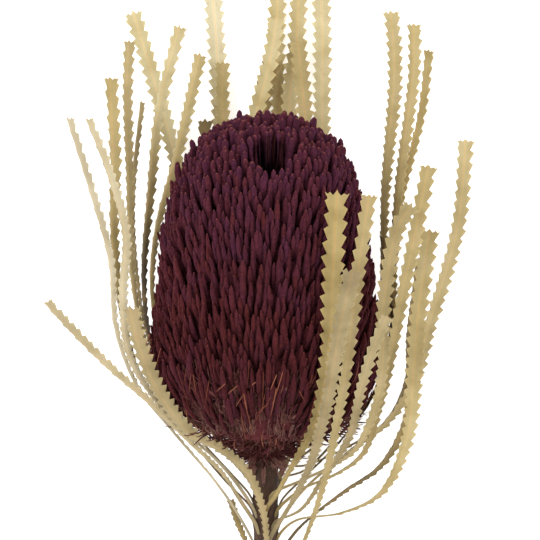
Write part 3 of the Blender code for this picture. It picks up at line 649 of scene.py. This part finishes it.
def build_florets():
    """Every floret is a lumpy bud with a small point: round a curve that leaves the bed steeply and ends
    along the head, with radius by its reach from root to tip. The buds are slim, and rounder near the tip of
    the head, straggle towards the base, and have a bare thin stalk where they cross the parting."""
    rng = np.random.default_rng(7)
    along, angle, tip = floret_tips(rng)
    count = len(along)
    wild = np.interp(along, [0, 18, 34, 60, 137], [0.36, 0.30, 0.21, 0.14, 0.13])
    end_lean = np.interp(along, [0, 10, 22, 34, 50, 110, 128, 137], [96, 70, 40, 24, 16, 13, 8, 0])
    root_lean = np.interp(along, [0, 10, 22, 34, 110, 128, 137], [108, 96, 70, 50, 40, 24, 4])
    end_lean = np.radians(end_lean) + rng.normal(0, 1, count) * wild
    end = leaning(end_lean, angle + rng.normal(0, 1, count) * wild)
    middle = tip - (9.0 + rng.normal(0, 0.6, count))[:, None] * end
    start = middle - 7.0 * leaning(np.radians(root_lean), angle)
    reach = np.array([0.0, 0.34, 0.58, 0.75, 0.88, 0.96, 1.0])
    slim = np.array([0.50, 0.83, 1.0, 0.95, 0.73, 0.40, 0.06])
    round_ended = np.array([0.50, 0.77, 0.93, 1.0, 0.94, 0.66, 0.08])
    swell = slim + (round_ended - slim) * np.interp(along, [92, 126], [0.0, 1.0])[:, None]
    curve = bend(start, middle, tip, reach)
    widest = np.interp(along, [14, 30, 48, 100, 118, 137], [0.70, 0.96, 1.10, 1.10, 1.18, 1.50])
    widest = widest * rng.normal(1, 0.09, count)
    bare = np.clip(3.0 * parting_share(curve), 0, 1)
    lumps = rng.normal(1, 0.08, (count, len(reach), FLORET_SIDES))
    radius = (widest[:, None] * swell * (1 - 0.74 * bare))[..., None] * lumps
    height = np.interp(along, [58, 130], [0, 1]) + rng.normal(0, 0.16, count)
    dim = np.interp(along, [14, 34, 60], [0.30, 0.62, 1.0])
    make_strands(
        "florets", curve, radius, FLORET_SIDES, radial(angle), FLORET_FINISH, gap=2 * FLOOR_GAP,
        # Painted shade: the reach falls along the stalks in the parting, so the shader darkens them as if in
        # its shade.
        reach=reach * (1 - 0.9 * bare),
        shade=(dim * rng.uniform(0, 1, count) - 0.5 * (1 - dim))[:, None],
        height=np.clip(height, 0, 1)[:, None],
    )


def build_bed():
    """The dark bed under the florets: the outline with its skirt, drawn in to 0.84 of its radius and more
    near the tip, and pushed down into the parting by its depth times a power of the points' share of an
    ellipse that reaches a little further towards the stem than the parting."""
    rings, sides = 110, 144
    share = np.linspace(0.0, 1.0, rings)[:, None]
    along = share * HEAD_LENGTH
    radius = np.interp(along, [0, 90, 125], [0.84, 0.84, 0.74]) * skirt_radius(along)
    radius[-1] = 0.05
    low = along * np.interp(along, [0, 90, 137], [0.94, 0.94, 0.88])
    points = about_axis(low, radius, 2 * math.pi * np.arange(sides) / sides)
    wide = (points[..., :2] - PARTING_MIDDLE + [0.0, 3.0]) / (PARTING_HALF * [1.04, 1.5])
    inside = np.clip(1.0 - (wide**2).sum(-1), 0, 1) * (points[..., 2] > PARTING_LOWEST)
    points[..., 2] -= PARTING_DEPTH * inside**0.3
    # Painted shade: the reach falls to 0 inside the parting, so the shader paints its pit nearly black.
    reach = 0.9 - 0.9 * np.clip(14 * inside, 0, 1)
    make_piece(
        "floret_bed", points, ring_faces(1, rings, sides), BED_FINISH, ["flower_head"], "florets",
        reach=reach, shade=0.4, height=share,
    )


def build_parting_strands():
    """Thin dark floret stalks across the parting, from its far rim down to its near rim, seen as upright
    lines, with none over its left third."""
    rng = np.random.default_rng(11)
    across = np.linspace(-0.30, 0.92, STALKS)
    x = PARTING_MIDDLE[0] + PARTING_HALF[0] * across + rng.normal(0, 0.25, STALKS)
    high = PARTING_MIDDLE[1] + PARTING_HALF[1] * rng.uniform(0.75, 1.0, STALKS)
    low = PARTING_MIDDLE[1] - PARTING_HALF[1] * rng.uniform(0.8, 1.25, STALKS)
    start = np.stack([x, high, rng.uniform(76, 80, STALKS)], -1)
    end = np.stack([x + rng.normal(0, 0.6, STALKS), low, rng.uniform(70, 75, STALKS)], -1)
    arch = np.stack([rng.normal(0, 0.4, STALKS), 0 * x, rng.normal(1.0, 0.6, STALKS)], -1)
    t = np.linspace(0, 1, 7)
    radius = rng.uniform(0.20, 0.42, STALKS)[:, None] * np.ones(7)
    curve = bend(start, (start + end) / 2 + arch, end, t)
    shade = (rng.uniform(0.0, 1.0, STALKS) ** 2)[:, None]
    upward = np.array([0.0, 0.0, 1.0])
    make_strands("parting_strands", curve, radius, 5, upward, STALK_FINISH, shade=shade)


def build_styles():
    """Wiry orange-brown styles that lie over the lowest florets and hang back towards the stem, nearly
    straight, most of them leaning the same way a little."""
    rng = np.random.default_rng(23)
    along = 10 + 40 * rng.uniform(0, 1, STYLES) ** 0.8
    angle = rng.uniform(0, 2 * math.pi, STYLES)
    start = about_axis(along, outline_radius(along) + rng.uniform(-0.6, 1.5, STYLES), angle)
    drop = rng.gamma(4.0, 2.2, STYLES) * np.interp(along, [8, 20], [0.6, 1.0])
    low = np.maximum(along - np.minimum(drop, 17), 1.0)
    aside = rng.normal(0.035, 0.035, STYLES)
    end = about_axis(low, outline_radius(low) + rng.uniform(0.3, 2.4, STYLES), angle + aside)
    arch = rng.uniform(0.2, 1.4, STYLES)[:, None] * radial(angle)
    middle = (start + end) / 2 + arch + rng.normal(0, 0.3, (STYLES, 3))
    t = np.linspace(0, 1, 9)
    taper = np.interp(t, [0, 0.1, 0.8, 1], [0.8, 1, 0.8, 0.3])
    radius = rng.uniform(0.10, 0.23, STYLES)[:, None] * taper
    shade = (rng.uniform(0.0, 1.0, STYLES) ** 2.0)[:, None]
    curve = bend(start, middle, end, t)
    make_strands("styles", curve, radius, 5, radial(angle), STYLE_FINISH, shade=shade)


def build_fringe():
    """Dark stiff strands under the skirt: they leave the head's base outwards and back towards the stem, and
    curve up again at their ends."""
    rng = np.random.default_rng(31)
    angle = rng.uniform(0, 2 * math.pi, STRANDS)
    along = rng.uniform(0, 17, STRANDS)
    start = about_axis(along, np.maximum(skirt_radius(along) - 5.0, 5.0), angle)
    first = leaning(np.radians(rng.normal(118, 12, STRANDS)), angle + rng.normal(0, 0.25, STRANDS))
    last = leaning(np.radians(rng.normal(66, 18, STRANDS)), angle + rng.normal(0, 0.4, STRANDS))
    middle = start + rng.uniform(5.5, 9.0, STRANDS)[:, None] * first
    end = middle + rng.uniform(3.0, 6.0, STRANDS)[:, None] * last
    t = np.linspace(0, 1, 9)
    radius = rng.uniform(0.20, 0.38, STRANDS)[:, None] * np.interp(t, [0, 0.8, 1], [1.1, 0.85, 0.3])
    shade = rng.uniform(0, 1, STRANDS)[:, None]
    make_strands("fringe", bend(start, middle, end, t), radius, 5, AXIS, FRINGE_FINISH, shade=shade)


def felt_tufts(rng):
    """Where the tufts of felt grow: their places along and round the head, their lean, root radius and
    length, first those of the head's underside and then those of the collar on the stem. On the side that
    faces up they lie along the head, and elsewhere they stand out from it."""
    tufts = TUFTS_ON_HEAD + TUFTS_ON_STEM
    on_head = np.arange(tufts) < TUFTS_ON_HEAD
    head_places = 40 * rng.uniform(0, 1, TUFTS_ON_HEAD) ** 0.9
    along = np.concatenate([head_places, rng.uniform(-7, 2, TUFTS_ON_STEM)])
    angle = rng.uniform(0, 2 * math.pi, tufts)
    facing = np.clip(np.sin(angle) * 1.3, 0, 1)
    out = np.interp(along, [0, 6, 10, 13, 22, 40], [24, 40, 84, 76, 46, 22])
    flat = np.interp(along, [0, 12, 22, 40], [50, 38, 28, 20])
    head_lean = out + (flat - out) * facing + rng.normal(0, 14, tufts)
    lean = np.radians(np.where(on_head, head_lean, rng.uniform(140, 172, tufts)))
    root = np.where(on_head, skirt_radius(along) - 3.0, np.interp(along, [-14, 1], [4.3, 7.5]))
    length = np.where(on_head, rng.uniform(5.5, 9.0, tufts), rng.uniform(3.0, 5.0, tufts))
    return along, angle, lean, root, length


def felt_height(along):
    """How pale felt is by its place along the head: 1 at the stem, 0 where the florets begin."""
    return np.interp(along, [-4, 32], [1.0, 0.0])[:, None]


def build_felt_lumps(rng, tufts, shade):
    """Soft pointed lumps, one for each tuft: round straight lines, with radius by the share of the way to
    the tip, slimmer on the side that faces up."""
    along, angle, lean, root, length = tufts
    start = about_axis(along, root - 1.8, angle)
    end = start + length[:, None] * leaning(lean, angle + rng.normal(0, 0.2, len(along)))
    t = np.array([0.0, 0.25, 0.5, 0.75, 0.92, 1.0])
    swell = np.array([0.4, 0.85, 1.0, 0.80, 0.42, 0.05])
    slim = 1 - np.clip(np.sin(angle), 0, 1) * np.interp(along, [0, 12, 26], [0.6, 0.5, 0.1])
    widest = np.interp(along, [-7, 0, 3, 20, 40], [0.5, 0.6, 1.0, 1.0, 0.7])
    widest = rng.uniform(0.7, 1.3, len(along)) * widest * slim
    uneven = rng.normal(1, 0.12, (len(along), len(t), 7))
    radius = (widest[:, None] * swell)[..., None] * uneven
    make_strands(
        # Painted shade: the reach gives a faint darkening towards each tuft's root.
        "felt_lumps", bend(start, (start + end) / 2, end, t), radius, 7, radial(angle), FELT_FINISH,
        reach=(0.45 + 0.45 * t)[None], shade=shade[:, None], height=felt_height(along),
    )


def build_felt_hairs(rng, tufts, shade):
    """Fine hairs, which share the direction of their tuft and fan out and curl a little from its root."""
    along, angle, lean, root, length, shade = (np.repeat(v, TUFT_HAIRS) for v in (*tufts, shade))
    count = len(along)
    start = about_axis(along + rng.normal(0, 0.9, count), root, angle + rng.normal(0, 0.05, count))
    length = (length * rng.uniform(0.5, 1.0, count))[:, None]
    fan = leaning(lean + rng.normal(0, 0.22, count), angle + rng.normal(0, 0.26, count))
    curl = leaning(lean + rng.normal(0, 0.45, count), angle + rng.normal(0, 0.5, count))
    middle = start + 0.55 * length * fan
    t = np.array([0.0, 0.4, 0.75, 1.0])
    radius = rng.uniform(0.12, 0.22, count)[:, None] * np.array([1.3, 1.1, 0.8, 0.15])
    shade = np.clip(shade + rng.normal(0, 0.2, count), 0, 1)
    make_strands(
        # Painted shade: the reach gives a faint darkening towards each hair's root.
        "felt_hairs", bend(start, middle, middle + 0.45 * length * curl, t), radius, 3, radial(angle),
        FELT_FINISH, reach=(0.60 + 0.34 * t)[None], shade=shade[:, None], height=felt_height(along),
    )


def build_felt():
    """Brown felt at the head's base: soft lumps with tufts of fine hairs on them."""
    rng = np.random.default_rng(41)
    tufts = felt_tufts(rng)
    shade = rng.uniform(0, 1, len(tufts[0]))
    build_felt_lumps(rng, tufts, shade)
    build_felt_hairs(rng, tufts, shade)


# The stem


def stem_centre(y):
    """The stem's middle at given lengths: on the line of the head's axis."""
    return HEAD_BASE + ((np.asarray(y, float) - HEAD_BASE[1]) / AXIS[1])[..., None] * AXIS


def stem_radius(y):
    """The stem's radius, thinner towards the head."""
    return np.interp(y, [STEM_END_Y, HEAD_BASE[1]], [STEM_RADIUS_END, STEM_RADIUS_TOP])


def build_stem():
    """The bark: a tube about the axis, its radius changed by lengthwise ridges and a soft swelling under each
    leaf's root, and its sawn end as a slightly hollow disc of rings."""
    rng = np.random.default_rng(53)
    rings, sides = 260, 64
    y = np.linspace(STEM_END_Y, HEAD_BASE[1] - 0.4, rings)
    plain = stem_radius(y)[:, None]
    angle = 2 * math.pi * np.arange(sides) / sides
    radius = plain * np.ones(sides)
    for waves, depth in ((3, 0.14), (5, 0.10), (11, 0.07), (17, 0.05)):
        wander = soft_noise(rng, 3, 60.0)(y)
        radius = radius + depth * np.sin(waves * angle + 1.5 * wander[:, None] + rng.uniform(0, 6))
    for root_y, root_angle, *_ in LEAVES.values():
        turned = np.angle(np.exp(1j * (angle - math.radians(root_angle))))
        radius = radius + 0.75 * np.exp(-((y[:, None] - root_y) ** 2 / 3.2**2 + (turned / 0.33) ** 2))
    radius[0] *= 0.94
    radius = np.minimum(radius, plain + 0.9)
    lowest = stem_centre(y)[:, None, 2] - radius * math.cos(TILT)
    radius = np.where(lowest < FLOOR_GAP, radius - 0.1, radius)
    points = stem_centre(y)[:, None] + radius[..., None] * radial(angle)
    make_piece("stem_bark", points, ring_faces(1, rings, sides), BARK_FINISH, ["stem"], "stem")
    share = np.linspace(0.02, 0.97, 14)[:, None]
    disc = stem_centre(y[0]) + (share * radius[0])[..., None] * radial(angle)
    disc = disc - 0.25 * (1 - share[..., None] ** 4) * AXIS
    faces = ring_faces(1, len(share), sides)
    make_piece("stem_cut_end", disc, faces, CUT_FINISH, ["stem"], "stem", across=share)


# The leaves


def between(t, low, high, a, b):
    """The point that divides a to b as t divides low to high."""
    return (high - t) / (high - low) * a + (t - low) / (high - low) * b


def smooth_route(points, places):
    """Points at the given shares of the length of a centripetal Catmull-Rom curve through the route."""
    p = np.array(points, float)
    p = np.vstack([2 * p[0] - p[1], p, 2 * p[-1] - p[-2]])
    fine = []
    for a, b, c, d in zip(p[:-3], p[1:-2], p[2:-1], p[3:]):
        k = np.cumsum([0.0] + [max(np.linalg.norm(e), 1e-6) ** 0.5 for e in (b - a, c - b, d - c)])
        t = np.linspace(k[1], k[2], 24, endpoint=False)[:, None]
        ab = between(t, k[0], k[1], a, b)
        bc = between(t, k[1], k[2], b, c)
        cd = between(t, k[2], k[3], c, d)
        ac = between(t, k[0], k[2], ab, bc)
        bd = between(t, k[1], k[3], bc, cd)
        fine.append(between(t, k[1], k[2], ac, bd))
    fine = np.vstack(fine + [p[-2:-1]])
    lengths = np.concatenate([[0.0], np.cumsum(np.linalg.norm(np.diff(fine, axis=0), axis=1))])
    wanted = np.asarray(places) * lengths[-1]
    return np.stack([np.interp(wanted, lengths, fine[:, k]) for k in range(3)], axis=1), lengths[-1]


def leaf_start(y, angle):
    """Where a leaf leaves the bark, and a point a little further along the stem and out from it."""
    out = radial(math.radians(angle))
    start = stem_centre(y) + (stem_radius(y) - 0.2) * out
    return [start, start + 5.5 * AXIS + 2.2 * out]


def tooth_stations(blade, pitch):
    """How many teeth a blade has, and six stations for each: their phase, which is 0 in the first notch and
    gains 1 with each tooth, up to the last tooth's point, and their place along the blade, from 0 to 1, in
    steps that grow towards the tip."""
    widening = math.log(1 + TOOTH_GROWTH) / TOOTH_GROWTH * (1 + TOOTH_GROWTH)
    teeth = max(2, round(blade * widening / pitch))
    phase = (np.arange(teeth)[:, None] + np.array([0.0, 0.18, 0.34, 0.50, TOOTH_PEAK, 0.84])).ravel()
    last = teeth - 1 + TOOTH_PEAK
    phase = np.append(phase[phase < last - 0.12], [last - 0.1, last])
    return teeth, phase, ((1 + TOOTH_GROWTH) ** (phase / last) - 1) / TOOTH_GROWTH


def saw(rng, phase, teeth):
    """A saw's edge: 0 in a notch, rising slowly to about 1 at a tooth's point and falling quickly to the
    next notch, with each tooth of its own height."""
    sizes = 1.0 - 0.25 * rng.uniform(0, 1, teeth + 3)
    part = phase - np.floor(phase)
    rising = part <= TOOTH_PEAK + 1e-6
    height = np.where(rising, part / TOOTH_PEAK, (1 - part) / (1 - TOOTH_PEAK))
    return height * sizes[np.floor(phase).astype(int)]


def build_leaf(name, root_y, root_angle, widest, turns, tones, pitch, trim, route):
    """A blade carried along its route: middle line + sideways * across + forward * tangent + raised * normal.
    Sideways runs out to the saw's edge, half a tooth out of step on the two sides, and only the outer columns
    follow the teeth. The section is a thin lens with a groove over the midrib, a rib under it and rolled
    margins. The blade ends in a crown of small points."""
    rng = np.random.default_rng(sum(map(ord, name)))
    path = leaf_start(root_y, root_angle) + [np.array(p, float) for p in route]
    _, length = smooth_route(path, [0.0])
    used = 1.0 - trim / length
    teeth, phase, place = tooth_stations(length * (used - PETIOLE_SHARE), pitch)
    last = phase[-1]
    stalk = np.linspace(0.0, PETIOLE_SHARE, 14, endpoint=False)
    shares = np.concatenate([stalk, PETIOLE_SHARE + (used - PETIOLE_SHARE) * place])
    phase = np.concatenate([0 * stalk, phase])

    centre, _ = smooth_route(path, shares)
    ahead, _ = smooth_route(path, np.clip(shares + 0.012, 0, 1))
    behind, _ = smooth_route(path, np.clip(shares - 0.012, 0, 1))
    tangent = unit(ahead - behind)
    turn = np.radians(np.interp(shares, [0.0, 0.5, 1.0], turns))
    turn = turn + 0.10 * soft_noise(rng, 3, 1.1)(shares) * np.clip(4 * shares, 0, 1)
    across = np.stack([np.cos(turn), 0 * turn, np.sin(turn)], axis=1)
    across = unit(across - (across * tangent).sum(1, keepdims=True) * tangent)
    normal = np.cross(across, tangent)

    columns = np.array([-1.0, -0.85, -0.7, -0.4, -0.14, 0.0, 0.14, 0.4, 0.7, 0.85, 1.0])
    reach = np.abs(columns)
    full_by = FULL_WIDTH_BY.get(name, FULL_WIDTH_SHARE)
    rise = np.clip((shares - PETIOLE_SHARE) / (full_by - PETIOLE_SHARE), 0, 1)
    full = PETIOLE_HALF_WIDTH + (widest - PETIOLE_HALF_WIDTH) * rise**0.75
    begun = np.clip(phase / 2.0, 0, 1)
    blunt = np.clip((phase - last + 0.35) / 0.35, 0, 1) * 0.92
    left = np.maximum(saw(rng, phase, teeth) * begun, blunt)
    right = np.maximum(saw(rng, phase + 0.5, teeth) * begun, blunt)
    edge = np.where(columns < 0, left[:, None], right[:, None])
    full = (full * np.interp(shares, [0.0, 0.04], [0.45, 1.0]))[:, None]
    begun = begun[:, None]
    notch = full * (1 - (1 - NOTCH_WIDTH) * begun)
    outer = np.clip((reach - 0.7) / 0.3, 0, 1)
    sideways = np.sign(columns) * (np.minimum(reach / 0.7, 1.0) * notch + outer * (full - notch) * edge)
    forward = 0.10 * (pitch * (1 - 0.3 * (1 - shares)))[:, None] * edge * outer
    crown = np.interp(reach, [0.0, 0.14, 0.4, 0.7, 0.85, 1.0], [0.40, 0.24, 0.02, 0.26, 0.02, 0.12])
    forward[-1] += crown * rng.uniform(0.7, 1.3, len(columns)) * widest

    thick = BLADE_THICKNESS * np.interp(reach, [0, 0.15, 0.7, 1.0], [1.0, 0.9, 0.72, 0.4])
    rolled = (-0.10 * full * reach**2.5 - FOLD * np.abs(sideways)) * begun
    flutter = 0.06 * full * reach**2 * np.sin(math.pi * phase[:, None] + 3 * np.sign(columns)) * begun
    groove = -0.10 * np.exp(-((columns / 0.12) ** 2)) * begun
    rib = 0.22 * np.exp(-((columns / 0.16) ** 2)) * np.clip(1.2 - shares, 0.2, 1)[:, None]
    middle = rolled + flutter
    base = centre[:, None] + sideways[..., None] * across[:, None] + forward[..., None] * tangent[:, None]
    upper = base + (middle + thick / 2 + groove)[..., None] * normal[:, None]
    lower = base + (middle - thick / 2 - rib)[..., None] * normal[:, None]
    loop = np.concatenate([upper, lower[:, ::-1]], axis=1)
    top_side = np.arange(loop.shape[1])[None] < len(columns)
    faces_up = np.where(normal[:, 2:3] > 0, top_side, ~top_side)
    loop[..., 2] = np.maximum(loop[..., 2], 0.02 + 0.3 * faces_up)

    stations, ring = loop.shape[:2]
    j = np.arange(len(columns) - 1)
    first_cap = np.stack([j, ring - 1 - j, ring - 2 - j, j + 1], axis=-1)
    last_cap = (stations - 1) * ring + first_cap[:, [0, 3, 2, 1]]
    sides = ring_faces(1, stations, ring, closed=False)[0]
    # The blade's tone along its length, 0.8 of the root's at the stalk: partly the leaf's own colour and
    # partly painted shade.
    tone = np.interp(shares, [0.0, 0.15, 0.5, 0.78], [tones[0] * 0.8, *tones[:3]])
    faces = [sides[:, ::-1], first_cap, last_cap]
    make_piece(
        name + "_blade", loop, faces, LEAF_FINISH, [name], "leaves", sharp=38,
        across=np.concatenate([columns, columns[::-1]]),
        along=(shares * length)[:, None],
        tone=tone[:, None],
        ash=tones[3],
    )


# Floor, light and camera


def build_floor():
    """A white floor under everything."""
    half = 4.0
    mesh = bpy.data.meshes.new("floor")
    corners = [(-half, -half, 0), (half, -half, 0), (half, half, 0), (-half, half, 0)]
    mesh.from_pydata(corners, [], [(0, 1, 2, 3)])
    mesh.materials.append(FLOOR_FINISH)
    floor = bpy.data.objects.new("floor", mesh)
    bpy.context.scene.collection.objects.link(floor)


def build_light():
    """A pale sky, a large soft light from the upper left and a weaker one from the right."""
    world = bpy.data.worlds.new("studio")
    bpy.context.scene.world = world
    world.use_nodes = True
    sky = world.node_tree.nodes["Background"]
    sky.inputs["Color"].default_value = (1.0, 0.99, 0.97, 1.0)
    sky.inputs["Strength"].default_value = 0.92
    for name, (place, width, power) in LAMPS.items():
        lamp = bpy.data.lights.new(name, "AREA")
        lamp.shape = "DISK"
        lamp.size = width
        lamp.energy = power
        light = bpy.data.objects.new(name, lamp)
        light.location = place
        aim = LAMP_AIM - np.array(place)
        azimuth = math.atan2(aim[1], aim[0])
        light.rotation_euler = (math.acos(-aim[2] / np.linalg.norm(aim)), 0.0, azimuth - math.pi / 2)
        bpy.context.scene.collection.objects.link(light)
    bpy.context.scene.view_settings.view_transform = "Standard"


def build_camera():
    """The camera straight above, looking down, framed as the photograph is."""
    lens = bpy.data.cameras.new("camera")
    lens.sensor_width = SENSOR_WIDTH
    lens.clip_end = CAMERA_REACH
    lens.lens = SENSOR_WIDTH * (CAMERA_HEIGHT - CAMERA_FOCUS_HEIGHT) / FRAME_WIDTH
    camera = bpy.data.objects.new("camera", lens)
    camera.location = (CAMERA_X * MM, CAMERA_Y * MM, CAMERA_HEIGHT * MM)
    bpy.context.scene.collection.objects.link(camera)
    bpy.context.scene.camera = camera


build_floor()
build_light()
build_camera()
build_bed()
build_florets()
build_parting_strands()
build_styles()
build_fringe()
build_felt()
build_stem()
for leaf_name, leaf_row in LEAVES.items():
    build_leaf(leaf_name, *leaf_row)
